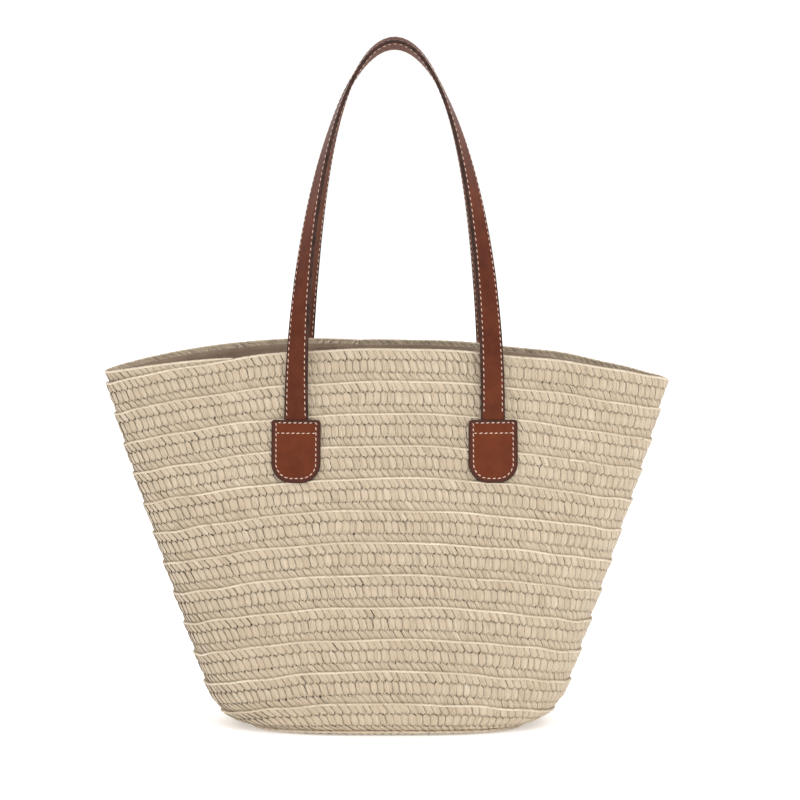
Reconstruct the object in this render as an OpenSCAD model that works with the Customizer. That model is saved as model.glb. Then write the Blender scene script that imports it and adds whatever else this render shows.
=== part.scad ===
// Beach tote: a plaited strip sewn round and round into a flared oval bag, with a fabric lining
// and two leather handles held by D-shaped tabs.
// The origin is on the floor under the middle of the foot. +X is to the right, the front faces -Y.

/* [Plaited strip] */
// Height that each turn of the strip adds to the wall
turn_pitch = 26.7; // [20:0.1:34]
// Number of turns in the wall
turn_count = 12; // [8:1:14]
// Thickness of the strip
strip_t = 2; // [1.4:0.1:2.6]
// Height by which each turn tucks behind the one below it
turn_overlap = 3; // [2:0.5:5]
// Height that the tapered end of the strip adds to the rim at its widest
strip_end_h = 10.5; // [5:0.5:16]

/* [Body] */
// Length of the flat foot
foot_l = 212; // [180:1:240]
// Depth of the flat foot, front to back
foot_d = 119; // [100:1:140]
// Radius of the turn-up at the two ends of the foot
end_r = 45; // [30:1:55]
// Radius of the turn-up along the front and the back of the foot
front_r = 14; // [10:1:20]
// Outward slope of the two ends from upright, in degrees
end_flare = 18.5; // [12:0.5:24]
// Inward slope of the front and the back from upright, in degrees
front_lean = 4.4; // [2:0.2:6]

/* [Lining] */
// Thickness of the lining fabric
lining_t = 0.7; // [0.5:0.1:1]
// Depth below the rim at which the lining is sewn
lining_drop = 3.5; // [2:0.5:8]

/* [Tabs] */
// Width of a tab
tab_w = 41; // [34:1:48]
// Height of a tab
tab_h = 52.5; // [44:0.5:60]
// Thickness of a tab over the end of a strap
tab_t = 4.7; // [4.5:0.1:6]
// Radius of the lower corners of a tab
tab_low_r = 16.5; // [10:0.5:17]
// Height of the top edge of the tabs above the floor
tab_top_z = 263; // [230:1:275]

/* [Handles] */
// Width of a strap
strap_w = 20; // [16:1:24]
// Thickness of a strap with all of its layers
strap_t = 3; // [2.4:0.1:3.4]
// Half of the distance between the two straps of a handle at the tabs
handle_half = 81.5; // [70:0.5:95]
// Sideways place of the handles from the middle of the bag
handle_x = 6; // [0:1:10]
// Height of the top of the handles above the floor
handle_top_z = 574; // [520:1:620]
// Distance of the top of each handle from the middle plane of the bag
handle_top_y = 13.5; // [12.5:0.5:25]

/* [Hidden] */

STRAW = [0.84, 0.77, 0.65];
LEATHER = [0.47, 0.22, 0.15];
LEATHER_EDGE = [0.2, 0.1, 0.08];
LINING = [0.71, 0.59, 0.53];
THREAD = [0.9, 0.75, 0.67];

facets = 56;              // around the bag
fine = 48;                // around a small circle
base_edge = 9.2;          // how far the base runs up the turn-up before the wall starts
wall_s = base_edge + turn_count * turn_pitch;
mouth_n = 2;              // squareness of the oval at the rim
foot_n = 2.8;             // and at the foot
end_dip = 2.1;            // how the rows dip from the middle to the ends
dip_skew = 0.06;          // the left end dips a little more than the right
shingle = 1.2;            // each turn leans out by this at its top and in at its bottom
gap = 0.2;                // air between pieces that lie on each other
lining_off = 4.4;         // from the middle of the wall to the middle of the lining
half_d_base = 13.4;       // half-width of the strip down the middle of the base
half_l_base = 62;
tab_gap = shingle + strip_t / 2 + gap;
tab_top_r = 3;
stitch_inset = 3;
stitch_w = 0.8;
stitch_t = 0.35;
second_row = 11;          // from the top edge of the tab to its second row of stitches
backing_t = 0.9;
strap_end_l = 40;
hinge_z = tab_top_z + 2.5;
strap_end_top = 1.1;      // how far the sewn end of a strap shows above its tab
strap_rings = 64;
strap_standoff = 1;
core_t = 0.7;
core_inset = 0.8;
layer_gap = 0.1;
rim_share = 0.2;          // share of the handle's height below the rim
early_twist = 0.73;       // 1 turns a strap edge-on evenly with its height, and less turns it sooner
late_twist = 1.13;
arch_lean = 18;           // how far the top of a handle is turned with its inward lean, in degrees
rear_rise = 3;            // the rear handle stands this much higher
rear_narrow = 2.5;        // and each of its sides this much further in at half height
end_swell = 3.8;          // how far the ends bulge out between the foot and the rim

function turn_name(i) = str("braid_turn_", i < 10 ? "0" : "", i);

// ---- the wall's middle surface: s runs up the wall from the edge of the foot, a goes round it ----

function arc_s(r, slope) = r * slope * PI / 180;

function run(s, r, slope) =
    s < 0 ? s
    : s < arc_s(r, slope) ? r * sin(s / r * 180 / PI)
    : r * sin(slope) + (s - arc_s(r, slope)) * cos(slope);

function rise(s, r, slope) =
    s < 0 ? 0
    : s < arc_s(r, slope) ? r * (1 - cos(s / r * 180 / PI))
    : r * (1 - cos(slope)) + (s - arc_s(r, slope)) * sin(slope);

function swell(s) = end_swell * (1 - pow(2 * min(max(s, 0) / wall_s, 1) - 1, 4));
function half_l(s) = foot_l / 2 + run(s, end_r, 90 - end_flare) + swell(s);
function half_d(s) = foot_d / 2 + run(s, front_r, 90 + front_lean);
function signed_pow(v, e) = sign(v) * pow(abs(v), e);
function oval_e(s) = 2 / (mouth_n + (foot_n - mouth_n) * (1 - min(max(s, 0) / wall_s, 1)));

function dip(s, x_share) =
    (rise(s, front_r, 90 + front_lean) - rise(s, end_r, 90 - end_flare))
    * pow(abs(x_share), end_dip) * (1 - dip_skew * x_share);

function wall_mid(s, a) = let (
    x_share = signed_pow(cos(a), oval_e(s)),
    y_share = signed_pow(sin(a), oval_e(s))
) [
    half_l(s) * x_share,
    half_d(s) * y_share,
    strip_t / 2 + rise(s, front_r, 90 + front_lean) - dip(s, x_share)
];

function unit(v) = v / norm(v);
function wall_out(s, a) = unit(cross(
    wall_mid(s, a + 1) - wall_mid(s, a - 1),
    wall_mid(s + 1, a) - wall_mid(s - 1, a)
));
function wall_point(s, a, off) = wall_mid(s, a) + off * wall_out(s, a);

// ---- closed solids from rows of points: each row is one section, and all sections have n points ----

// flip picks the other diagonal, so that the two broad sides of a thin section stay parallel
function quad(a, b, c, d, flip) = flip ? [[b, c, d], [b, d, a]] : [[a, b, c], [a, c, d]];

function side_faces(rows, n, closed) = [
    for (i = [0 : rows - (closed ? 1 : 2)], j = [0 : n - 1])
        each quad(
            i * n + j,
            i * n + (j + 1) % n,
            ((i + 1) % rows) * n + (j + 1) % n,
            ((i + 1) % rows) * n + j,
            j >= n / 2
        )
];

function fan(first, n, flip) = [
    for (j = [1 : n - 2]) flip ? [first, first + j + 1, first + j] : [first, first + j, first + j + 1]
];

module swept(sections, closed) {
    n = len(sections[0]);
    rows = len(sections);
    caps = closed ? [] : concat(fan(0, n, true), fan((rows - 1) * n, n, false));
    polyhedron([for (s = sections) each s], concat(side_faces(rows, n, closed), caps), convexity = 6);
}

// A band of the wall between two heights, leaning from off_low to off_high across its width
function band_section(s_low, s_high, off_low, off_high, t, a, steps) = let (
    shares = [for (k = [0 : steps]) k / steps]
) concat(
    [for (k = shares) wall_point(s_low + (s_high - s_low) * k, a, off_low + (off_high - off_low) * k - t / 2)],
    [for (k = shares) wall_point(s_high + (s_low - s_high) * k, a, off_high + (off_low - off_high) * k + t / 2)]
);

module band(s_low, s_high, off_low, off_high, t, steps) {
    swept([for (i = [0 : facets - 1])
        band_section(s_low, s_high, off_low, off_high, t, 360 * i / facets, steps)], true);
}

// ---- base ----

module flat_oval(l, d, n) {
    polygon([for (i = [0 : facets - 1]) let (a = 360 * i / facets)
        [l * signed_pow(cos(a), 2 / n), d * signed_pow(sin(a), 2 / n)]]);
}

module base_centre() {
    color(STRAW)
    linear_extrude(strip_t)
    flat_oval(half_l_base, half_d_base, 3);
}

module base_turn_1() {
    color(STRAW)
    linear_extrude(strip_t)
    difference() {
        flat_oval(half_l(-turn_pitch + base_edge) - gap, half_d(-turn_pitch + base_edge) - gap, foot_n);
        flat_oval(half_l_base + gap, half_d_base + gap, 3);
    }
}

module base_turn_2() {
    color(STRAW)
    band(base_edge - turn_pitch, base_edge, 0, 0, strip_t, 5);
}

// ---- wall ----

module braid_turn(i) {
    edge = base_edge + (i - 1) * turn_pitch;
    color(STRAW)
    band(
        edge - turn_overlap,
        edge + turn_pitch,
        i == 1 ? -strip_t - gap : -shingle,
        shingle,
        strip_t,
        i < 4 ? 4 : 1
    );
}

// The strip runs out over the left end of the rim, from the front round to the back
strip_end_from = 96;
strip_end_to = 237;

module strip_end() {
    steps = 26;
    color(STRAW)
    swept([for (i = [0 : steps]) let (
        a = strip_end_from + (strip_end_to - strip_end_from) * i / steps,
        h = 0.4 + strip_end_h * pow(sin(180 * i / steps), 0.8)
    ) band_section(wall_s - turn_overlap, wall_s + h, -shingle, -shingle / 2, strip_t - 3 * gap, a, 1)], false);
}

// ---- lining ----

module lining_wall() {
    color(LINING)
    band(0, wall_s - lining_drop, -lining_off, -lining_off, lining_t, 9);
}

module lining_base() {
    color(LINING)
    translate([0, 0, strip_t / 2 + lining_off - lining_t / 2])
    linear_extrude(lining_t)
    flat_oval(half_l(0) - 2 * gap, half_d(0) - 2 * gap, foot_n);
}

// ---- tabs: each frame has its origin on the wall at the middle of the tab's top edge ----

rim_z = rise(wall_s, front_r, 90 + front_lean) + strip_t / 2;
tab_s = wall_s - rim_z + tab_top_z;  // how far up the wall the top edge of a tab is
function tab_angle(x) = let (s = tab_s - tab_h / 2)
    -acos(signed_pow(x / half_l(s), 1 / oval_e(s)));
function tab_out(x) = wall_out(tab_s - tab_h / 2, tab_angle(x));
function tab_up(x) = unit([0, 0, 1] - tab_out(x)[2] * tab_out(x));
function tab_right(x) = cross(tab_up(x), tab_out(x));
function tab_origin(x) = let (
    middle = wall_point(tab_s - tab_h / 2, tab_angle(x), tab_gap),
    up = tab_up(x)
) middle + up * (tab_top_z - middle[2]) / up[2];

module on_wall(x) {
    o = tab_origin(x);
    r = tab_right(x);
    u = tab_up(x);
    n = tab_out(x);
    multmatrix([
        [r[0], u[0], n[0], o[0]],
        [r[1], u[1], n[1], o[1]],
        [r[2], u[2], n[2], o[2]],
        [0, 0, 0, 1]
    ])
    children();
}

// The tab's outline, drawn down from its top edge and made smaller all round by inset
module tab_outline(inset) {
    w = tab_w / 2 - inset;
    low_r = tab_low_r - inset;
    top_r = max(tab_top_r - inset, 0.5);
    low = -tab_h + inset + low_r;
    top = -inset;
    translate([-w, low]) square([2 * w, top - top_r - low]);
    translate([-w + top_r, top - top_r - 1]) square([2 * (w - top_r), top_r + 1]);
    translate([-w + low_r, low - low_r]) square([2 * (w - low_r), low_r + 1]);
    for (x = [-1, 1]) {
        translate([x * (w - top_r), top - top_r]) circle(top_r, $fn = fine);
        translate([x * (w - low_r), low]) circle(low_r, $fn = fine);
    }
}

module tab(x) {
    channel_w = strap_w + 4 * gap;
    channel_t = strap_t + 2 * gap;
    color(LEATHER)
    on_wall(x)
    difference() {
        linear_extrude(tab_t) tab_outline(0);
        translate([-channel_w / 2, -strap_end_l - gap, -1]) cube([channel_w, strap_end_l + 2, channel_t + 1]);
    }
}

module tab_stitching(x) {
    w = tab_w - 2 * stitch_inset;
    color(THREAD)
    on_wall(x)
    translate([0, 0, tab_t])
    linear_extrude(stitch_t) {
        difference() {
            tab_outline(stitch_inset);
            tab_outline(stitch_inset + stitch_w);
        }
        translate([-w / 2, -second_row]) square([w, stitch_w]);
    }
}

module strap_end(x) {
    color(LEATHER)
    on_wall(x)
    translate([-strap_w / 2, -strap_end_l, gap])
    cube([strap_w, strap_end_l + strap_end_top, strap_t]);
}

// A patch inside the wall that the tab is sewn through to
module backing(x) {
    color(LEATHER_EDGE)
    on_wall(x)
    translate([0, 0, -tab_gap * 2 - backing_t - gap])
    linear_extrude(backing_t)
    tab_outline(0);
}

// ---- handles: u runs from 0 at the left tab over the top to 1 at the right tab ----

function strap_start(x) = tab_origin(x) + tab_out(x) * (gap + strap_t / 2);
left_x = handle_x - handle_half;
right_x = handle_x + handle_half;

function handle_point(u, back) = let (
    c = -cos(180 * u),
    h = sin(180 * u),
    m = (1 + c) / 2,
    y0 = strap_start(left_x)[1] * (1 - m) + strap_start(right_x)[1] * m,
    lean = pow(max(0, (h - rim_share) / (1 - rim_share)), 1.1),
    out = strap_standoff * min(1, h / rim_share),
    half = handle_half - (back ? rear_narrow * sin(180 * h) : 0),
    top_z = handle_top_z + (back ? rear_rise : 0)
) [
    handle_x + half * c,
    y0 - out * (1 - lean) + (-handle_top_y - y0) * lean,
    hinge_z + (top_z - strap_t / 2 - hinge_z) * h
];

function handle_along(u, back) =
    unit(handle_point(min(u + 0.004, 1), back) - handle_point(max(u - 0.004, 0), back));

// The front handle turns edge-on early at its left and late at its right, and the rear one the other way
function handle_normal(u, back) = let (
    h = sin(180 * u),
    t = handle_along(u, back),
    m = (1 - cos(180 * u)) / 2,
    front = tab_out(left_x) * (1 - m) + tab_out(right_x) * m,
    f = unit(front - (front * t) * t),
    o = unit(cross([0, -cos(arch_lean), sin(arch_lean)], t)),
    late = back ? 1 - m : m,
    turned = (1 - late) * pow(h, early_twist) + late * pow(h, late_twist),
    full = acos(f * o)
) unit(f * sin((1 - turned) * full) + o * sin(turned * full));

module handle_layer(n_low, n_high, w, back) {
    swept([for (i = [0 : strap_rings]) let (
        u = i / strap_rings,
        p = handle_point(u, back),
        n = handle_normal(u, back),
        side = cross(handle_along(u, back), n)
    ) [
        p + side * w / 2 + n * n_low,
        p + side * w / 2 + n * n_high,
        p - side * w / 2 + n * n_high,
        p - side * w / 2 + n * n_low
    ]], false);
}

module handle_face(back) {
    color(LEATHER)
    handle_layer(core_t / 2 + layer_gap, strap_t / 2, strap_w, back);
}

module handle_core(back) {
    color(LEATHER_EDGE)
    handle_layer(-core_t / 2, core_t / 2, strap_w - 2 * core_inset, back);
}

module handle_back(back) {
    color(LEATHER)
    handle_layer(-strap_t / 2, -core_t / 2 - layer_gap, strap_w, back);
}

module rear() {
    mirror([0, 1, 0]) children();
}

module tab_piece(name, x) {
    if (name == "tab") tab(x);
    if (name == "tab_stitching") tab_stitching(x);
    if (name == "strap_end") strap_end(x);
    if (name == "backing") backing(x);
}

module handle_piece(name, back) {
    if (name == "face") handle_face(back);
    if (name == "core") handle_core(back);
    if (name == "back") handle_back(back);
}

base_centre();
base_turn_1();
base_turn_2();
for (i = [1 : turn_count]) braid_turn(i);
strip_end();
lining_wall();
lining_base();
for (p = ["tab", "tab_stitching", "strap_end", "backing"]) {
    tab_piece(p, left_x);
    tab_piece(p, right_x);
    rear() tab_piece(p, left_x);
    rear() tab_piece(p, right_x);
}
for (p = ["face", "core", "back"]) {
    handle_piece(p, false);
    rear() handle_piece(p, true);
}
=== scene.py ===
import math

import bpy
import numpy as np
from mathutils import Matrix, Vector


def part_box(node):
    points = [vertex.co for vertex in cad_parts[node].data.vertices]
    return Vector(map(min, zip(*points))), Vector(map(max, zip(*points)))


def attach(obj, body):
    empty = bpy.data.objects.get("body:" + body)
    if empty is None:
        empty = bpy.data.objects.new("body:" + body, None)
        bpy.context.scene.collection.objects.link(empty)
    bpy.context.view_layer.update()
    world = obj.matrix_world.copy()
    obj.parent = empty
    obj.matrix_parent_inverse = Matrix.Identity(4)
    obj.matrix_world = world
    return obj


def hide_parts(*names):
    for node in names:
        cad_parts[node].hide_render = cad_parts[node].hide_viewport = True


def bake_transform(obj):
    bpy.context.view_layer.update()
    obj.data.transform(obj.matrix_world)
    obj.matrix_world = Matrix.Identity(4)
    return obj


# Beach tote: a plaited straw strip sewn round and round into a flared oval bag, with a fabric
# lining and two leather handles on D-shaped tabs. Metres; +X to the right, the front faces -Y.

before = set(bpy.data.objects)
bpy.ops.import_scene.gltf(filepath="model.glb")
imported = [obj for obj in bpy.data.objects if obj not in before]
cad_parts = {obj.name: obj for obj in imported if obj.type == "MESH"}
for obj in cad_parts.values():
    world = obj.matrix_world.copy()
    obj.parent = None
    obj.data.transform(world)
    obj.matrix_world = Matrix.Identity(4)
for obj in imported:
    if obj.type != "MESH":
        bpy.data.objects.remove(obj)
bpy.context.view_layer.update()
rng = np.random.default_rng(11)
MM = 0.001

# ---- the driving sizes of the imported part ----
TURN_PITCH = 26.7 * MM
TURN_COUNT = 12
TURN_OVERLAP = 3 * MM
STRIP_W = TURN_PITCH + TURN_OVERLAP
STRIP_T = 2 * MM
STRIP_END_H = 10.5 * MM
FOOT_L = 212 * MM
FOOT_D = 119 * MM
END_R = 45 * MM
FRONT_R = 14 * MM
END_SLOPE = math.radians(90 - 18.5)
FRONT_SLOPE = math.radians(90 + 4.4)
LINING_T = 0.7 * MM
LINING_DROP = 3.5 * MM
LINING_OFF = 4.4 * MM
TAB_W = 41 * MM
TAB_H = 52.5 * MM
TAB_LOW_R = 16.5 * MM
TAB_TOP_R = 3 * MM
TAB_TOP_Z = 263 * MM
TAB_GAP = 2.4 * MM
STRAP_W = 20 * MM
STRAP_T = 3 * MM
HANDLE_HALF = 81.5 * MM
HANDLE_X = 6 * MM
HANDLE_TOP_Z = 574 * MM
HANDLE_TOP_Y = 13.5 * MM
HINGE_Z = TAB_TOP_Z + 2.5 * MM
ARCH_LEAN = math.radians(18)
REAR_RISE = 3 * MM
REAR_NARROW = 2.5 * MM
END_SWELL = 3.8 * MM
GAP = 0.2 * MM
SHINGLE = 1.2 * MM
BASE_EDGE = 9.2 * MM
WALL_S = BASE_EDGE + TURN_COUNT * TURN_PITCH
MOUTH_N = 2
FOOT_N = 2.8
END_DIP = 2.1
DIP_SKEW = 0.06
RIM_SHARE = 0.2
EARLY_TWIST = 0.73
LATE_TWIST = 1.13
STANDOFF = 1 * MM
LEAN_POWER = 1.1


# ---- the wall's middle surface: s runs up the wall from the edge of the foot, a goes round it ----

def run(s, radius, slope):
    bend = np.clip(s, 0, radius * slope)
    straight = np.maximum(s - radius * slope, 0)
    return np.minimum(s, 0) + radius * np.sin(bend / radius) + straight * math.cos(slope)


def rise(s, radius, slope):
    bend = np.clip(s, 0, radius * slope)
    straight = np.maximum(s - radius * slope, 0)
    return radius * (1 - np.cos(bend / radius)) + straight * math.sin(slope)


def half_l(s):
    swell = END_SWELL * (1 - (2 * np.clip(s / WALL_S, 0, 1) - 1) ** 4)
    return FOOT_L / 2 + run(s, END_R, END_SLOPE) + swell


def half_d(s):
    return FOOT_D / 2 + run(s, FRONT_R, FRONT_SLOPE)


def signed_pow(v, power):
    return np.sign(v) * np.abs(v) ** power


def oval_power(s):
    return 2 / (MOUTH_N + (FOOT_N - MOUTH_N) * (1 - np.clip(s / WALL_S, 0, 1)))


def wall_mid(s, a):
    x_share = signed_pow(np.cos(a), oval_power(s))
    y_share = signed_pow(np.sin(a), oval_power(s))
    lift = rise(s, FRONT_R, FRONT_SLOPE)
    dip = (lift - rise(s, END_R, END_SLOPE)) * np.abs(x_share) ** END_DIP * (1 - DIP_SKEW * x_share)
    return np.stack([half_l(s) * x_share, half_d(s) * y_share, STRIP_T / 2 + lift - dip], -1)


def unit(v):
    return v / np.linalg.norm(v, axis=-1, keepdims=True)


def wall_out(s, a):
    step = math.radians(1)
    around = wall_mid(s, a + step) - wall_mid(s, a - step)
    up = wall_mid(s + MM, a) - wall_mid(s - MM, a)
    return unit(np.cross(around, up))


def wall_point(s, a, off):
    return wall_mid(s, a) + np.asarray(off)[..., None] * wall_out(s, a)


def smooth(low, high, v):
    t = np.clip((v - low) / (high - low), 0, 1)
    return t * t * (3 - 2 * t)


def slow_noise(t, waves, noise):
    """Smooth noise from -1 to 1 that repeats when t goes from 0 to 1."""
    phases = noise.uniform(0, 2 * math.pi, len(waves))
    return sum(np.sin(2 * math.pi * w * t + p) for w, p in zip(waves, phases)) / len(waves) ** 0.7


# ---- meshes ----

def new_piece(name, points, faces, materials, face_materials=None, values=None):
    """A smooth-shaded mesh object. values are per-vertex numbers that its materials read."""
    mesh = bpy.data.meshes.new(name)
    mesh.from_pydata(np.reshape(points, (-1, 3)).tolist(), [], faces)
    mesh.shade_smooth()
    for material in materials:
        mesh.materials.append(material)
    if face_materials is not None:
        mesh.polygons.foreach_set("material_index", np.asarray(face_materials, np.int32))
    for key, numbers in (values or {}).items():
        attribute = mesh.attributes.new(key, "FLOAT", "POINT")
        attribute.data.foreach_set("value", np.asarray(numbers, np.float32).ravel())
    piece = bpy.data.objects.new(name, mesh)
    bpy.context.scene.collection.objects.link(piece)
    return piece


def tube_faces(rings, n, closed, first=0, flip=False):
    """Faces of a tube of rings with n points each, capped if it isn't closed on itself."""
    i = np.arange(rings if closed else rings - 1)[:, None]
    j = np.arange(n)[None, :]
    following = (i + 1) % rings
    corners = [i * n + j, following * n + j, following * n + (j + 1) % n, i * n + (j + 1) % n]
    if flip:
        corners = corners[::-1]
    faces = (np.stack(np.broadcast_arrays(*corners), -1) + first).reshape(-1, 4).tolist()
    if not closed:
        start = list(range(first, first + n))
        end = list(range(first + (rings - 1) * n, first + rings * n))
        faces += [start[::-1], end] if flip else [start, end[::-1]]
    return faces


# ---- materials ----

def new_material(name, roughness, specular=0.5, sheen=0.0):
    material = bpy.data.materials.new(name)
    material.use_nodes = True
    shader = material.node_tree.nodes["Principled BSDF"]
    shader.inputs["Roughness"].default_value = roughness
    shader.inputs["Specular IOR Level"].default_value = specular
    shader.inputs["Sheen Weight"].default_value = sheen
    return material, material.node_tree.nodes, material.node_tree.links, shader


def node(nodes, kind, **settings):
    made = nodes.new(kind)
    for key, value in settings.items():
        if hasattr(made, key):
            setattr(made, key, value)
        else:
            made.inputs[key.replace("_", " ")].default_value = value
    return made


def ramp(nodes, links, source, stops):
    """A colour ramp; stops are (place, linear colour)."""
    made = nodes.new("ShaderNodeValToRGB")
    elements = made.color_ramp.elements
    while len(elements) < len(stops):
        elements.new(0.5)
    for element, (place, colour) in zip(elements, stops):
        element.position = place
        element.color = (*colour, 1)
    links.new(source, made.inputs["Fac"])
    return made.outputs["Color"]


def mixed(nodes, links, factor, a, b, blend="MIX"):
    made = nodes.new("ShaderNodeMix")
    made.data_type = "RGBA"
    made.blend_type = blend
    sockets = [s for s in made.inputs if s.enabled]
    for socket, value in zip(sockets, (factor, a, b)):
        if isinstance(value, bpy.types.NodeSocket):
            links.new(value, socket)
        elif isinstance(value, tuple):
            socket.default_value = (*value, 1)
        else:
            socket.default_value = value
    return [s for s in made.outputs if s.enabled][0]


def math_node(nodes, links, operation, a, b=0.0, clamp=False):
    made = node(nodes, "ShaderNodeMath", operation=operation, use_clamp=clamp)
    for socket, value in zip(made.inputs, (a, b)):
        if isinstance(value, bpy.types.NodeSocket):
            links.new(value, socket)
        else:
            socket.default_value = value
    return made.outputs[0]


def weighted(nodes, links, pairs):
    """The sum of (socket, weight) pairs; a weight of 1 adds the socket as it is."""
    total = None
    for socket, weight in pairs:
        part = socket if weight == 1 else math_node(nodes, links, "MULTIPLY", socket, weight)
        total = part if total is None else math_node(nodes, links, "ADD", total, part)
    return total


def add_bump(nodes, links, shader, heights):
    """Bump from (height socket, distance in metres) pairs, one after the other."""
    last = None
    for height, distance in heights:
        bump = node(nodes, "ShaderNodeBump", Distance=distance, Strength=1.0)
        links.new(height, bump.inputs["Height"])
        if last:
            links.new(last, bump.inputs["Normal"])
        last = bump.outputs["Normal"]
    links.new(last, shader.inputs["Normal"])


def strand_vector(nodes, links, along_scale, across_scale):
    """Coordinates that follow each strand: along it, across it, and one value for each strand."""
    combined = node(nodes, "ShaderNodeCombineXYZ")
    scales = (("along", along_scale), ("across", across_scale), ("strand", 7))
    for socket, (name, scale) in zip(combined.inputs, scales):
        read = node(nodes, "ShaderNodeAttribute", attribute_name=name)
        links.new(math_node(nodes, links, "MULTIPLY", read.outputs["Fac"], scale), socket)
    return combined.outputs[0]


def straw_material():
    material, nodes, links, shader = new_material("straw", 0.62, 0.28, 0.08)
    # the per-vertex tone holds random differences from float to float and painted highlights on the fold and
    # cord at the top edge
    tone_and_highlight = node(nodes, "ShaderNodeAttribute", attribute_name="tone_and_highlight").outputs["Fac"]
    streaks = node(nodes, "ShaderNodeTexNoise", Scale=1.0, Detail=3.0, Roughness=0.6)
    links.new(strand_vector(nodes, links, 60, 1.5), streaks.inputs["Vector"])
    creases = node(nodes, "ShaderNodeTexNoise", Scale=1.0, Detail=2.0, Roughness=0.5)
    links.new(strand_vector(nodes, links, 70, 3.4), creases.inputs["Vector"])
    shade = weighted(nodes, links, [(streaks.outputs["Fac"], 0.7), (creases.outputs["Fac"], 0.5), (tone_and_highlight, 1)])
    colour = ramp(nodes, links, shade, [
        (0.0, (0.40, 0.305, 0.2)),
        (0.35, (0.52, 0.415, 0.29)),
        (0.65, (0.62, 0.51, 0.375)),
        (1.0, (0.9, 0.81, 0.65)),
    ])
    links.new(colour, shader.inputs["Base Color"])
    add_bump(nodes, links, shader, [(creases.outputs["Fac"], 0.0016), (streaks.outputs["Fac"], 0.0006)])
    return material


def leather_material(name, dark, light, roughness):
    material, nodes, links, shader = new_material(name, roughness, 0.14)
    place = node(nodes, "ShaderNodeTexCoord").outputs["Object"]
    mottle = node(nodes, "ShaderNodeTexNoise", Scale=85.0, Detail=4.0, Roughness=0.6)
    links.new(place, mottle.inputs["Vector"])
    broad = node(nodes, "ShaderNodeTexNoise", Scale=22.0, Detail=2.0)
    links.new(place, broad.inputs["Vector"])
    pores = node(nodes, "ShaderNodeTexVoronoi", Scale=1500.0)
    links.new(place, pores.inputs["Vector"])
    grain = node(nodes, "ShaderNodeTexNoise", Scale=900.0, Detail=2.0)
    links.new(place, grain.inputs["Vector"])
    shade = weighted(nodes, links, [(mottle.outputs["Fac"], 0.55), (broad.outputs["Fac"], 0.45)])
    colour = ramp(nodes, links, shade, [(0.3, dark), (0.7, light)])
    rim = node(nodes, "ShaderNodeAttribute", attribute_name="rim").outputs["Fac"]
    colour = mixed(nodes, links, rim, colour, tuple(0.42 * c + 0.012 for c in dark))
    links.new(colour, shader.inputs["Base Color"])
    add_bump(nodes, links, shader, [(pores.outputs["Distance"], 0.00012), (grain.outputs["Fac"], 0.0001)])
    return material


def edge_material():
    material, nodes, links, shader = new_material("edge_paint", 0.5, 0.16)
    place = node(nodes, "ShaderNodeTexCoord").outputs["Object"]
    wear = node(nodes, "ShaderNodeTexNoise", Scale=160.0, Detail=3.0)
    links.new(place, wear.inputs["Vector"])
    links.new(ramp(nodes, links, wear.outputs["Fac"], [
        (0.35, (0.024, 0.011, 0.008)),
        (0.75, (0.075, 0.031, 0.02)),
    ]), shader.inputs["Base Color"])
    add_bump(nodes, links, shader, [(wear.outputs["Fac"], 0.0001)])
    return material


def fabric_material():
    material, nodes, links, shader = new_material("lining_cloth", 0.9, 0.12, 0.3)
    place = node(nodes, "ShaderNodeTexCoord").outputs["Object"]
    warp = node(nodes, "ShaderNodeTexWave", bands_direction="Z", Scale=420.0, Distortion=0.6)
    links.new(place, warp.inputs["Vector"])
    weft = node(nodes, "ShaderNodeTexWave", bands_direction="X", Scale=420.0, Distortion=0.6)
    links.new(place, weft.inputs["Vector"])
    weave = math_node(nodes, links, "ADD", warp.outputs["Fac"], weft.outputs["Fac"])
    slub = node(nodes, "ShaderNodeTexNoise", Scale=60.0, Detail=3.0)
    links.new(place, slub.inputs["Vector"])
    shade = weighted(nodes, links, [(weave, 0.2), (slub.outputs["Fac"], 0.6)])
    links.new(ramp(nodes, links, shade, [
        (0.3, (0.21, 0.145, 0.1)),
        (0.7, (0.4, 0.285, 0.205)),
    ]), shader.inputs["Base Color"])
    add_bump(nodes, links, shader, [(weave, 0.00015)])
    return material


def thread_material():
    material, nodes, links, shader = new_material("thread", 0.6, 0.3)
    place = node(nodes, "ShaderNodeTexCoord").outputs["Object"]
    twist = node(nodes, "ShaderNodeTexWave", bands_direction="DIAGONAL", Scale=900.0)
    links.new(place, twist.inputs["Vector"])
    links.new(ramp(nodes, links, twist.outputs["Fac"], [
        (0.0, (0.55, 0.38, 0.29)),
        (0.8, (0.82, 0.62, 0.5)),
    ]), shader.inputs["Base Color"])
    add_bump(nodes, links, shader, [(twist.outputs["Fac"], 0.0001)])
    return material


straw = straw_material()
leather = leather_material("leather", (0.093, 0.017, 0.005), (0.158, 0.034, 0.009), 0.42)
strap_leather = leather_material("strap_leather", (0.06, 0.011, 0.004), (0.135, 0.03, 0.009), 0.4)
leather_back = leather_material("leather_back", (0.105, 0.036, 0.021), (0.17, 0.064, 0.038), 0.6)
edge_paint = edge_material()
cloth = fabric_material()
thread = thread_material()


# ---- the plait: seven strands that cross the strip and fold back at its edges ----

ENDS = 7
PLAIT_PERIOD = 42 * MM
ZONE_LOW = 0.345
ZONE_HIGH = 0.70
ZONE_EDGES = np.array([0, ZONE_LOW, ZONE_HIGH, 1])
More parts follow.
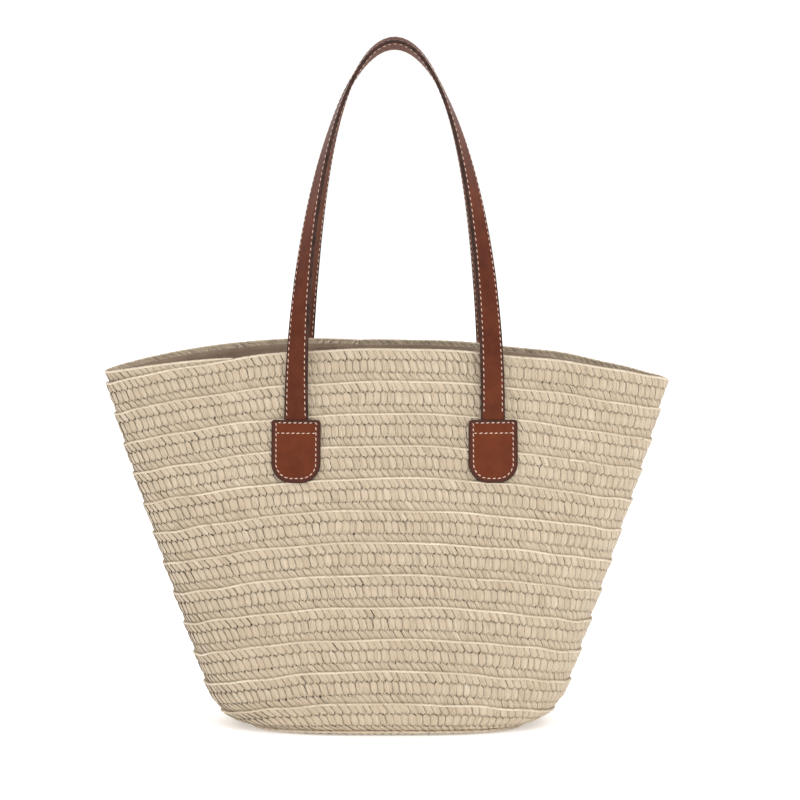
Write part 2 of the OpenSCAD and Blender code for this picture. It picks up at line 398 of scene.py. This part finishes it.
# how far a strand moves along the strip, in strand widths, as it goes down and then up again
DOWN_X = np.array([4.15, 3.16, 0.86, 0])
UP_X = np.array([4.15, 5.66, 5.36, 7.0])
LEG_V = np.array([0.045, 0.18, 0.28, 0.345, 0.41, 0.52, 0.64, 0.70, 0.76, 0.86, 0.95])
LAYER = 0.42 * MM
FOLD_R = 0.95 * MM
STRAND_HALF_T = 0.34 * MM
STRAND_TILT = 0.42 * MM
STRAND_HALF_W = 0.61  # of the space for one strand; over a half, so that neighbours overlap
FLOAT_ARCH = 0.28 * MM  # how much higher the middle of a float on the outside stands
FLOATS = 7
TURNED_FLOAT = 6  # the one that folds over at the top edge
ZONE_BLEND = 0.065  # a strand changes sides this far on either side of a zone's edge
PINCH = 0.66  # how much narrower a strand is there
PINCH_W = 0.034
# random differences from float to float
TONE_SPREAD = 0.035
LIFT_SPREAD = 0.09 * MM
WANDER_SPREAD = 0.24 * MM
SHEAR = 1.6 * MM  # how far the edges of the strip slide along
SECTION = np.array([(-1, 0), (-0.6, 1), (0.6, 1), (1, 0), (0.6, -1), (-0.6, -1)])


def over(v):
    """1 where a strand on its way down lies on the outside, -1 where it lies on the inside."""
    low = smooth(ZONE_LOW - ZONE_BLEND, ZONE_LOW + ZONE_BLEND, v)
    high = smooth(ZONE_HIGH - ZONE_BLEND, ZONE_HIGH + ZONE_BLEND, v)
    return 1 - 2 * (low - high)


def leg(down):
    v = LEG_V[::-1] if down else LEG_V
    side = over(v) if down else -over(v)
    arch = np.abs(np.sin(math.pi * np.interp(v, ZONE_EDGES, [0, 1, 2, 3])))
    x = np.interp(v, ZONE_EDGES, DOWN_X if down else UP_X)
    zone = np.clip(np.searchsorted(ZONE_EDGES, v), 1, 3) - 1 + (0 if down else 3)
    return x, v * STRIP_W, LAYER * side + FLOAT_ARCH * arch * np.maximum(side, 0), zone


def one_cycle():
    """Along, up, outward and the number of the visible float, for one strand over one period."""
    down, up = leg(True), leg(False)
    low = (np.array([DOWN_X[0]]), np.array([0.1 * MM]), np.array([0.0]), np.array([2]))
    turn = np.radians([-62, 0, 62])
    top = (
        ENDS + np.array([-0.12, 0, 0.12]),
        STRIP_W - FOLD_R + FOLD_R * np.cos(turn),
        FOLD_R * np.sin(turn),
        np.full(3, TURNED_FLOAT),
    )
    return [np.concatenate(parts) for parts in zip(down, low, up, top)]


SELVAGE_R = 1.02 * MM


def selvage(place, length, cycles, closed, noise):
    """The cord-like edge that the folded strands make along the top of a strip."""
    beads = cycles * ENDS
    rings = beads * 4
    x = np.linspace(0, length, rings, endpoint=not closed)[:, None]
    bead = np.sin(math.pi * x / length * beads) ** 2
    radius = SELVAGE_R * (0.9 + 0.16 * bead + 0.05 * slow_noise(x / length, (7, 19, 31), noise))
    angle = np.radians(60) * np.arange(len(SECTION))[None, :] + 2 * math.pi * x / length * beads / 3
    v = STRIP_W - SELVAGE_R * 0.9 + radius * np.sin(angle)
    h = FOLD_R * 0.55 + radius * np.cos(angle)
    points = place(np.broadcast_to(x, v.shape), v / STRIP_W, h)
    values = {
        # the cord is set lighter than the strands: a painted highlight along its lit top, with random tone
        # along it
        "tone_and_highlight": 0.14 + 0.04 * slow_noise(x / length, (11, 23, 47), noise) + 0 * v,
        # nearly even along and round the cord, so that the creases of the strands don't break up its line
        "along": 0.15 * x + 0 * v,
        "across": 0 * v,
        "strand": np.full(v.shape, 3.3),
    }
    return points, values


def plait_strip(name, place, length, closed, seed):
    """One length of plait. place turns (along, up as a share of the strip, outward) into points."""
    noise = np.random.default_rng(seed)
    cycles = max(1, round(length / PLAIT_PERIOD))
    width = length / cycles / ENDS
    x, up, out, float_no = one_cycle()
    count = len(x)
    along = (np.arange(ENDS)[:, None, None] + ENDS * np.arange(cycles)[None, :, None] + x) * width
    v = np.broadcast_to(up, along.shape)
    h = np.broadcast_to(out, along.shape)
    floats = (ENDS, cycles, FLOATS)
    turned = float_no == TURNED_FLOAT
    tones = noise.normal(0, TONE_SPREAD, floats)[:, :, float_no]
    widths = noise.uniform(0.94, 1.14, floats)[:, :, float_no]
    lifts = noise.normal(0, LIFT_SPREAD, floats)[:, :, float_no]
    dips = sum(np.exp(-(((up / STRIP_W) - edge) / PINCH_W) ** 2) for edge in (ZONE_LOW, ZONE_HIGH))
    pinch = (1 - PINCH * dips) * np.where(turned, 0.96, 1.0)
    half_w = widths * pinch * width * STRAND_HALF_W
    slope_v = np.gradient(np.concatenate([up[-1:], up, up[:1]]))[1:-1]
    slope_h = np.gradient(np.concatenate([out[-1:], out, out[:1]]))[1:-1]
    size = np.hypot(slope_v, slope_h)
    normal_v, normal_h = slope_h / size, -slope_v / size
    share = along / length
    shear = slow_noise(share, (2, 5, 9, 14), noise) * SHEAR * (v / STRIP_W - 0.5) * 2
    wander = noise.normal(0, WANDER_SPREAD, floats)[:, :, float_no]
    along = (along + shear + wander).reshape(ENDS, -1, 1)
    half_w = half_w.reshape(ENDS, -1, 1)
    h = (h + lifts).reshape(ENDS, -1, 1)
    v = v.reshape(ENDS, -1, 1)
    normal_v = np.tile(normal_v, cycles)[None, :, None]
    normal_h = np.tile(normal_h, cycles)[None, :, None]
    thick = STRAND_HALF_T * SECTION[:, 1]
    points = place(
        along + half_w * SECTION[:, 0],
        (v + normal_v * thick) / STRIP_W,
        h + normal_h * thick + STRAND_TILT * SECTION[:, 0],
    )
    rings = cycles * count
    cord_points, cord_values = selvage(place, length, cycles, closed, noise)
    cord_first = ENDS * rings * len(SECTION)
    faces = tube_faces(len(cord_points), len(SECTION), closed, cord_first)
    for k in range(ENDS):
        faces += tube_faces(rings, len(SECTION), closed, k * rings * len(SECTION))
    shape = (ENDS, rings, len(SECTION))
    # the float that folds over the top edge is made lighter: a painted highlight where the fold catches the
    # light from above
    fold_highlight = np.tile(np.where(turned, 0.1, 0.0), cycles)
    drift = slow_noise(np.linspace(0, 1, rings), (3, 7), noise)
    tone_and_highlight = tones.reshape(ENDS, rings) + fold_highlight - 0.1 + 0.03 * drift
    travel = np.cumsum(np.hypot(np.diff(x, prepend=x[0]) * width, np.diff(up, prepend=up[0])))
    travel = (travel + travel[-1] * np.arange(cycles)[:, None]).ravel()
    strand_values = {
        "tone_and_highlight": np.broadcast_to(tone_and_highlight[..., None], shape),
        "along": np.broadcast_to(travel[None, :, None], shape),
        "across": np.broadcast_to(SECTION[:, 0], shape),
        "strand": np.broadcast_to((np.arange(ENDS) + seed * 0.37)[:, None, None], shape),
    }
    values = {k: np.concatenate([v.ravel(), cord_values[k].ravel()]) for k, v in strand_values.items()}
    points = np.concatenate([points.reshape(-1, 3), cord_points.reshape(-1, 3)])
    piece = new_piece(name, points, faces, [straw], values=values)
    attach(piece, "root")
    return piece


def ring_table(s, from_angle, to_angle):
    """Angles round the wall at height s, and the length along the wall to each."""
    angles = np.linspace(from_angle, to_angle, 1441)
    line = wall_mid(np.full(angles.shape, s), angles)
    steps = np.linalg.norm(np.diff(line, axis=0), axis=1)
    return angles, np.concatenate([[0], np.cumsum(steps)])


WAVER = 0.35 * MM


def turn(name, s_low, s_high, off_low, off_high, seed):
    start = np.random.default_rng(seed).uniform(0, 2 * math.pi)
    angles, lengths = ring_table((s_low + s_high) / 2, start, start + 2 * math.pi)
    total = lengths[-1]
    waves = np.random.default_rng(seed + 50)
    sway = [waves.uniform(0, 2 * math.pi) for _ in range(3)]

    def place(x, v, h):
        laps = np.floor(x / total)
        a = np.interp(x - laps * total, lengths, angles) + laps * 2 * math.pi
        waver = WAVER * (np.sin(5 * a + sway[0]) + np.sin(11 * a + sway[1]) + np.sin(17 * a + sway[2]))
        s = s_low + (s_high - s_low) * v + waver * (v if s_low > 0 else 0)
        return wall_point(s, a, off_low + (off_high - off_low) * v + h)

    piece = plait_strip(name + "_plait", place, total, True, seed)
    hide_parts(name)
    return piece


def wall_turns():
    for i in range(1, TURN_COUNT + 1):
        edge = BASE_EDGE + (i - 1) * TURN_PITCH
        tuck = STRIP_T + GAP if i == 1 else SHINGLE
        turn(f"braid_turn_{i:02d}", edge - TURN_OVERLAP, edge + TURN_PITCH, -tuck, SHINGLE, i)


def base_strips():
    turn("base_turn_2", BASE_EDGE - TURN_PITCH, BASE_EDGE, 0.0, 0.0, 21)
    turn("base_turn_1", BASE_EDGE - 2 * TURN_PITCH, BASE_EDGE - TURN_PITCH, 0.0, 0.0, 22)
    low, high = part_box("base_centre")

    def place(x, v, h):
        return np.stack(np.broadcast_arrays(low.x + x, low.y + (high.y - low.y) * v, STRIP_T / 2 - h), -1)

    piece = plait_strip("base_centre_plait", place, high.x - low.x, False, 23)
    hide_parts("base_centre")


STRIP_END_FROM = math.radians(96)
STRIP_END_TO = math.radians(237)
STRIP_END_LIFT = 0.4 * MM
# behind the wall at its lower edge, leaning out, and flatter than a turn
STRIP_END_BACK = 2.6 * MM
STRIP_END_LEAN = 1.9 * MM
STRIP_END_THIN = 0.7


def end_rise(a):
    """How far the tapered end of the strip stands above the rim at angle a."""
    share = np.clip((a - STRIP_END_FROM) / (STRIP_END_TO - STRIP_END_FROM), 0, 1)
    return STRIP_END_H * np.sin(math.pi * share) ** 0.8


def strip_end():
    """The tapered end of the strip, which slides up behind the rim round the left end."""
    angles, lengths = ring_table(WALL_S, STRIP_END_FROM, STRIP_END_TO)

    def place(x, v, h):
        a = np.interp(x, lengths, angles)
        top = WALL_S + STRIP_END_LIFT + end_rise(a)
        off = -STRIP_END_BACK + STRIP_END_LEAN * v + STRIP_END_THIN * h
        return wall_point(top - STRIP_W * (1 - v), a, off)

    piece = plait_strip("strip_end_plait", place, lengths[-1], False, 31)
    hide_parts("strip_end")


# ---- lining ----

FOLD_H = 2.6 * MM
CREASE_H = 0.8 * MM
HEM_T = 0.5 * MM
FLOOR_RIPPLE = 0.5 * MM


def lining():
    rows, columns = 84, 360
    a = np.linspace(0, 2 * math.pi, columns, endpoint=False)[None, :]
    s = np.linspace(0, 1, rows)[:, None] * (WALL_S - LINING_DROP)
    height = s / WALL_S
    noise = np.random.default_rng(5)
    fold = np.zeros((rows, columns))
    for waves, drift, size in ((9, 2.2, 1.0), (14, -3.1, 0.8), (23, 4.0, 0.5), (31, -6.0, 0.35)):
        phase = noise.uniform(0, 6.28)
        bend = 0.7 * np.sin(3 * a + 8 * s / WALL_S + phase)
        fold += size * (1 - np.abs(np.sin(waves * a / 2 + drift * s / WALL_S + phase + bend))) ** 2
    across = 0.6 * np.sin(s / WALL_S * 19 + 2 * np.sin(2 * a + 1) + 1.2 * np.sin(5 * a))
    held = smooth(0, 0.12, s / WALL_S) * (1 - smooth(0.93, 1.0, s / WALL_S))
    lifted = s + end_rise(a) * smooth(0.6, 1.0, height)
    off = -LINING_OFF - held * (FOLD_H * fold + CREASE_H * (across + 0.6))
    hem = HEM_T * smooth(0.965, 0.985, s / WALL_S)
    around = np.broadcast_to(a, lifted.shape)
    outer = wall_point(lifted, around, off + LINING_T / 2)
    inner = wall_point(lifted, around, off - LINING_T / 2 - hem)
    points = np.concatenate([outer, inner[::-1]]).transpose(1, 0, 2)
    wall = new_piece("lining_wall_cloth", points, tube_faces(columns, 2 * rows, True, flip=True), [cloth])
    finish_cloth(wall, "lining_wall")
    floor_cloth()


def finish_cloth(piece, node_name):
    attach(piece, "root")
    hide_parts(node_name)


def floor_cloth():
    low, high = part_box("lining_base")
    shares = np.array([1, 0.985, 0.93, 0.8, 0.62, 0.42, 0.2])
    a = np.linspace(0, 2 * math.pi, 120, endpoint=False)
    rings = []
    for side in (1, -1):
        for share in shares[::-1] if side > 0 else shares:
            x = high.x * share * signed_pow(np.cos(a), 2 / FOOT_N)
            y = high.y * share * signed_pow(np.sin(a), 2 / FOOT_N)
            ripple = FLOOR_RIPPLE * np.sin(60 * x + 1.5) * np.sin(90 * y + 40 * x) * (1 - share ** 4)
            z = (low.z + high.z) / 2 + np.abs(ripple) + side * LINING_T / 2
            rings.append(np.stack([x, y, z], -1))
    points = np.array(rings)
    piece = new_piece("lining_base_cloth", points, tube_faces(len(rings), len(a), False), [cloth])
    finish_cloth(piece, "lining_base")


# ---- tabs: x, y and z in a tab's own frame run right, up and outward from the middle of its top edge ----

TAB_S = WALL_S - float(rise(WALL_S, FRONT_R, FRONT_SLOPE)) - STRIP_T / 2 + TAB_TOP_Z - TAB_H / 2
LEFT_X = HANDLE_X - HANDLE_HALF
RIGHT_X = HANDLE_X + HANDLE_HALF
SHEET_T = 1.5 * MM
DOME_H = 2.9 * MM
STITCH_L = 2.9 * MM
STITCH_INSET = 3.9 * MM
TAB_STITCH_STEP = 4.4 * MM
TAB_THREAD_R = 0.48 * MM
ROW_COUNT = 8
ROW_INSET = 5.6 * MM
ROW_DROP = 11 * MM


def tab_frame(x):
    """Origin and the right, up and outward directions of the front tab at x."""
    a = -math.acos(float(signed_pow(x / half_l(TAB_S), 1 / oval_power(TAB_S))))
    out = wall_out(TAB_S, a)
    up = unit(np.array([0, 0, 1]) - out[2] * out)
    middle = wall_point(TAB_S, a, TAB_GAP)
    return middle + up * (TAB_TOP_Z - middle[2]) / up[2], np.cross(up, out), up, out


def tab_height(x, y):
    """Height of the tab's outer face: it lies on the straw and is domed over the end of the strap."""
    across = 1 - smooth(STRAP_W / 2 - 0.5 * MM, STRAP_W / 2 + 6.5 * MM, np.abs(x))
    down = 1 - smooth(24 * MM, 42 * MM, -y)
    return GAP + SHEET_T + DOME_H * across * down - 0.55 * x ** 2


def tab_outline(inset):
    """The D-shaped outline, anticlockwise from its right side, smaller all round by inset."""
    w = TAB_W / 2 - inset
    low_r = max(TAB_LOW_R - inset, 0.4 * MM)
    top_r = max(TAB_TOP_R - inset, 0.4 * MM)
    top, bottom = -inset, -TAB_H + inset
    corners = (
        (w - top_r, top - top_r, top_r, 0, 8),
        (-w + top_r, top - top_r, top_r, 90, 8),
        (-w + low_r, bottom + low_r, low_r, 180, 14),
        (w - low_r, bottom + low_r, low_r, 270, 14),
    )
    points = []
    for i, (cx, cy, r, start, count) in enumerate(corners):
        angles = np.radians(np.linspace(start, start + 90, count))
        arc = np.stack([cx + r * np.cos(angles), cy + r * np.sin(angles)], -1)
        next_x, next_y, next_r, next_start, _ = corners[(i + 1) % 4]
        turned = math.radians(next_start)
        ahead = np.array([next_x + next_r * math.cos(turned), next_y + next_r * math.sin(turned)])
        shares = np.linspace(0, 1, 14)[1:-1, None]
        points += [arc, arc[-1] + (ahead - arc[-1]) * shares]
    return np.concatenate(points)


def tab_world(local, tab, mirrored):
    origin, right, up, out = tab
    points = origin + local[..., :1] * right + local[..., 1:2] * up + local[..., 2:] * out
    return points * np.array([1, -1 if mirrored else 1, 1])


def tab_sheet(name, tab, mirrored):
    profile = [(16, -1), (9, -1), (3, -1), (0.35, -1), (0.0, -0.75), (0.0, -0.3), (0.28, -0.04), (0.8, 0)]
    profile += [(i, 0) for i in (1.6, 2.6, 3.6, 5, 6.6, 8.2, 10, 12, 14, 16)]
    loops, rims = [], []
    for inset, depth in profile:
        line = tab_outline(inset * MM)
        z = tab_height(line[:, 0], line[:, 1]) + depth * SHEET_T
        press = 0.22 * MM * math.exp(-((inset - 3.8) / 0.8) ** 2) * (depth == 0)
        loops.append(np.column_stack([line, z - press]))
        rims.append(np.full(len(line), 0.8 * (1 - smooth(2.0, 3.8, inset))))
    n = len(loops[0])
    faces = tube_faces(len(loops), n, False, flip=not mirrored)
    # the rings of the profile between which the painted edge lies
    edge_from, edge_to = 3, 7
    per_ring = np.repeat(np.arange(len(loops) - 1), n)
    face_materials = np.where((per_ring >= edge_from) & (per_ring < edge_to), 1, 0).tolist() + [0, 0]
    points = tab_world(np.array(loops), tab, mirrored)
    skins = [leather, edge_paint]
    piece = new_piece(name + "_sheet", points, faces, skins, face_materials, {"rim": np.array(rims)})
    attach(piece, "root")
    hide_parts(name)


def stitches(name, places, alongs, outs, length, radius):
    """Separate stitches in one mesh, each a short sunk capsule with its own small slant."""
    places, alongs, outs = (np.asarray(v, float) for v in (places, alongs, outs))
    alongs = unit(alongs)
    sides = np.cross(outs, alongs)
    slant = rng.normal(0.12, 0.05, len(places))[:, None]
    alongs = unit(alongs + slant * sides)
    sides = np.cross(outs, alongs)
    # along in lengths, radius and lift in radii
    stations = np.array([
        (-0.5, 0.25, -0.5), (-0.38, 0.8, 0.3), (0, 1, 0.62), (0.38, 0.8, 0.3), (0.5, 0.25, -0.5),
    ])
    turns = np.radians(np.arange(6) * 60)
    t = stations[:, 0:1] * length + 0 * turns
    side = stations[:, 1:2] * radius * np.cos(turns)
    lift = stations[:, 1:2] * radius * np.sin(turns) + stations[:, 2:3] * radius
    frames = [v[:, None, None, :] for v in (places, alongs, sides, outs)]
    points = frames[0] + t[..., None] * frames[1] + side[..., None] * frames[2] + lift[..., None] * frames[3]
    faces = []
    for k in range(len(places)):
        faces += tube_faces(len(stations), len(turns), False, k * len(stations) * len(turns))
    piece = new_piece(name, points, faces, [thread])
    return piece


def tab_stitches(name, tab, mirrored):
    line = tab_outline(STITCH_INSET)
    line[:, 1] += 1.5 * MM * smooth(-9 * MM, -4 * MM, line[:, 1])
    loop = np.concatenate([line, line[:1]])
    steps = np.concatenate([[0], np.cumsum(np.linalg.norm(np.diff(loop, axis=0), axis=1))])
    count = round(steps[-1] / TAB_STITCH_STEP)
    at = np.arange(count) * steps[-1] / count
    xy = np.stack([np.interp(at, steps, loop[:, i]) for i in (0, 1)], -1)
    ahead = np.stack([np.interp(at + 0.5 * MM, steps, loop[:, i]) for i in (0, 1)], -1)
    row_x = np.linspace(-TAB_W / 2 + ROW_INSET, TAB_W / 2 - ROW_INSET, ROW_COUNT)
    row = np.stack([row_x, np.full(ROW_COUNT, -ROW_DROP)], -1)
    xy = np.concatenate([xy, row])
    ahead = np.concatenate([ahead, row + np.array([0.5 * MM, 0])])
    local = np.column_stack([xy, tab_height(*xy.T) - 0.15 * MM])
    local_ahead = np.column_stack([ahead, tab_height(*ahead.T) - 0.15 * MM])
    points = tab_world(local, tab, mirrored)
    alongs = tab_world(local_ahead, tab, mirrored) - points
    outs = np.tile(tab[3] * np.array([1, -1 if mirrored else 1, 1]), (len(xy), 1))
    piece = stitches(name + "_thread", points, alongs, outs, STITCH_L, TAB_THREAD_R)
    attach(piece, "root")
    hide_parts(name)


# ---- handles ----

def strap_start(x):
    origin, _, _, out = tab_frame(x)
    return origin + out * (GAP + STRAP_T / 2)


DENSE_SHARE = 0.045
SEWN_DEPTHS = np.array([38, 33, 28, 22, 15, 8, 3]) * MM
SKIVE = 0.8
SKIVE_FROM = 24 * MM
STARTS = (strap_start(LEFT_X), strap_start(RIGHT_X))
OUTS = (tab_frame(LEFT_X)[3], tab_frame(RIGHT_X)[3])


def handle_point(u, back):
    c = -np.cos(math.pi * u)
    h = np.sin(math.pi * u)
    m = (1 + c) / 2
    y0 = STARTS[0][1] * (1 - m) + STARTS[1][1] * m
    lean = np.maximum(0, (h - RIM_SHARE) / (1 - RIM_SHARE)) ** LEAN_POWER
    out = STANDOFF * np.minimum(1, h / RIM_SHARE)
    half = HANDLE_HALF - (REAR_NARROW * np.sin(math.pi * h) if back else 0)
    top_z = HANDLE_TOP_Z + (REAR_RISE if back else 0)
    y = y0 - out * (1 - lean) + (-HANDLE_TOP_Y - y0) * lean
    return np.stack([HANDLE_X + half * c, y, HINGE_Z + (top_z - STRAP_T / 2 - HINGE_Z) * h], -1)


def handle_line(back):
    """Points, directions along, outward normals and thickness shares from one tab over to the other."""
    # closer together near the tabs, where the strap folds over when the handle swings down
    low = np.linspace(0, DENSE_SHARE, 30, endpoint=False)
    u = np.concatenate([low, np.linspace(DENSE_SHARE, 1 - DENSE_SHARE, 110), 1 - low[::-1]])
    points = handle_point(u, back)
    along = unit(handle_point(np.minimum(u + 0.004, 1), back) - handle_point(np.maximum(u - 0.004, 0), back))
    m = ((1 - np.cos(math.pi * u)) / 2)[:, None]
    h = np.maximum(np.sin(math.pi * u), 0)[:, None]
    front = OUTS[0] * (1 - m) + OUTS[1] * m
    f = unit(front - np.sum(front * along, 1, keepdims=True) * along)
    o = unit(np.cross(np.array([0, -math.cos(ARCH_LEAN), math.sin(ARCH_LEAN)]), along))
    late = 1 - m if back else m
    turned = (1 - late) * h ** EARLY_TWIST + late * h ** LATE_TWIST
    full = np.arccos(np.sum(f * o, 1, keepdims=True))
    normal = unit(f * np.sin((1 - turned) * full) + o * np.sin(turned * full))
    parts = [(points, along, normal, np.ones(len(u)))]
    for x, start, rising in ((LEFT_X, STARTS[0], True), (RIGHT_X, STARTS[1], False)):
        _, _, up, out = tab_frame(x)
        order = SEWN_DEPTHS if rising else SEWN_DEPTHS[::-1]
        skive = 1 - SKIVE * smooth(SKIVE_FROM, SEWN_DEPTHS[0], order)
        middle = start - up * order[:, None] - out * (STRAP_T / 2 * (1 - skive))[:, None]
        count = len(order)
        ends = (middle, np.tile(up if rising else -up, (count, 1)), np.tile(out, (count, 1)), skive)
        parts = [ends] + parts if rising else parts + [ends]
    return [np.concatenate(v) for v in zip(*parts)]


# across in strap widths, outward in strap thicknesses: from the left edge up over the grooved outer face,
# then the same turned half round for the inner face
PROFILE_LEFT = [(-0.5, 0.16), (-0.485, 0.36), (-0.455, 0.47), (-0.43, 0.5), (-0.385, 0.475), (-0.34, 0.5)]
PROFILE_TOP = np.array(PROFILE_LEFT + [(0, 0.5)] + [(-x, y) for x, y in PROFILE_LEFT[::-1]])
STRAP_PROFILE = np.concatenate([PROFILE_TOP, -PROFILE_TOP])
OUTER_FROM, OUTER_TO = 3, 9
INNER_FROM, INNER_TO = OUTER_FROM + len(PROFILE_TOP), OUTER_TO + len(PROFILE_TOP)
GROOVE_X = 0.385
GROOVE_H = 0.475
STRAP_STITCH_STEP = 4.9 * MM
STRAP_THREAD_R = 0.42 * MM
UNSEWN_SHARE = 0.057  # of the strap's length, at each end


def handle(side, mirrored):
    flip = np.array([1, -1 if mirrored else 1, 1])
    points, along, normal, skive = handle_line(mirrored)
    across = np.cross(normal, along)
    rings = (
        points[:, None, :]
        + across[:, None, :] * (STRAP_PROFILE[:, 0] * STRAP_W)[:, None]
        + normal[:, None, :] * (STRAP_PROFILE[:, 1] * STRAP_T)[:, None] * skive[:, None, None]
    ) * flip
    n = len(STRAP_PROFILE)
    faces = tube_faces(len(points), n, False, flip=mirrored)
    j = np.tile(np.arange(n), len(points) - 1)
    outer = (j >= OUTER_FROM) & (j < OUTER_TO)
    inner = (j >= INNER_FROM) & (j < INNER_TO)
    face_materials = np.where(outer, 0, np.where(inner, 2, 1)).tolist() + [1, 1]
    rim = np.tile(0.55 * smooth(0.38, 0.46, np.abs(STRAP_PROFILE[:, 0])), (len(points), 1))
    skins = [strap_leather, edge_paint, leather_back]
    piece = new_piece(side + "_handle_strap", rings, faces, skins, face_materials, {"rim": rim})
    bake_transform(piece)
    nodes = [f"{side}_handle_{part}" for part in ("face", "core", "back")]
    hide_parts(*nodes, f"{side}_left_strap_end", f"{side}_right_strap_end")
    lengths = np.concatenate([[0], np.cumsum(np.linalg.norm(np.diff(points, axis=0), axis=1))])
    at = np.arange(lengths[-1] * UNSEWN_SHARE, lengths[-1] * (1 - UNSEWN_SHARE), STRAP_STITCH_STEP)
    line, ahead, out = (
        np.stack([np.interp(at, lengths, v[:, i]) for i in range(3)], -1) for v in (points, along, normal)
    )
    sides = np.cross(out, ahead)
    places, alongs, outs = [], [], []
    depth = GROOVE_H * STRAP_T - 0.1 * MM
    for edge in (-GROOVE_X, GROOVE_X):
        for face in (1, -1):
            places.append((line + sides * edge * STRAP_W + out * face * depth) * flip)
            alongs.append(ahead * flip)
            outs.append(out * face * flip)
    rows = [np.concatenate(v) for v in (places, alongs, outs)]
    sewn = stitches(side + "_handle_thread", *rows, STITCH_L, STRAP_THREAD_R)
    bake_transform(sewn)


def leather_goods():
    for side, mirrored in (("front", False), ("rear", True)):
        for end, x in (("left", LEFT_X), ("right", RIGHT_X)):
            tab = tab_frame(x)
            name = f"{side}_{end}_tab"
            tab_sheet(name, tab, mirrored)
            tab_stitches(name + "_stitching", tab, mirrored)
            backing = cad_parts[f"{side}_{end}_backing"]
            backing.data.materials.clear()
            backing.data.materials.append(leather_back)
        handle(side, mirrored)


# ---- stage, lights and camera ----

def area_light(name, place, aim, size, power):
    light = bpy.data.lights.new(name, "AREA")
    light.size = size
    light.energy = power
    lamp = bpy.data.objects.new(name, light)
    lamp.location = place
    direction = np.array(aim, float) - np.array(place, float)
    lamp.rotation_euler = (
        math.atan2(math.hypot(direction[0], direction[1]), -direction[2]),
        0,
        math.atan2(direction[0], -direction[1]) + math.pi,
    )
    bpy.context.scene.collection.objects.link(lamp)


def stage():
    size = 6
    floor_drop = 0.4 * MM
    corners = np.array([(-size, -size, 0), (size, -size, 0), (size, size, 0), (-size, size, 0)])
    material, _, _, shader = new_material("floor", 0.9, 0.1)
    shader.inputs["Base Color"].default_value = (0.97, 0.97, 0.97, 1)
    shader.inputs["Emission Color"].default_value = (1, 1, 1, 1)
    shader.inputs["Emission Strength"].default_value = 0.3
    floor = new_piece("floor", corners - np.array([0, 0, floor_drop]), [[0, 1, 2, 3]], [material])
    world = bpy.data.worlds.new("studio")
    world.use_nodes = True
    world.node_tree.nodes["Background"].inputs["Color"].default_value = (1, 1, 1, 1)
    world.node_tree.nodes["Background"].inputs["Strength"].default_value = 1.06
    bpy.context.scene.world = world
    bpy.context.scene.view_settings.view_transform = "Standard"
    area_light("key", (0.8, -1.6, 2.2), (0, 0, 0.2), 2.4, 20)


CAMERA_PLACE = (0.0105, -3.0, 0.558)
CAMERA_DOWN = math.radians(5.4)


def camera():
    data = bpy.data.cameras.new("camera")
    data.lens = 160.7
    data.sensor_width = 36
    eye = bpy.data.objects.new("camera", data)
    eye.location = CAMERA_PLACE
    eye.rotation_euler = (math.radians(90) - CAMERA_DOWN, 0, 0)
    bpy.context.scene.collection.objects.link(eye)
    bpy.context.scene.camera = eye


wall_turns()
base_strips()
strip_end()
lining()
leather_goods()
stage()
camera()
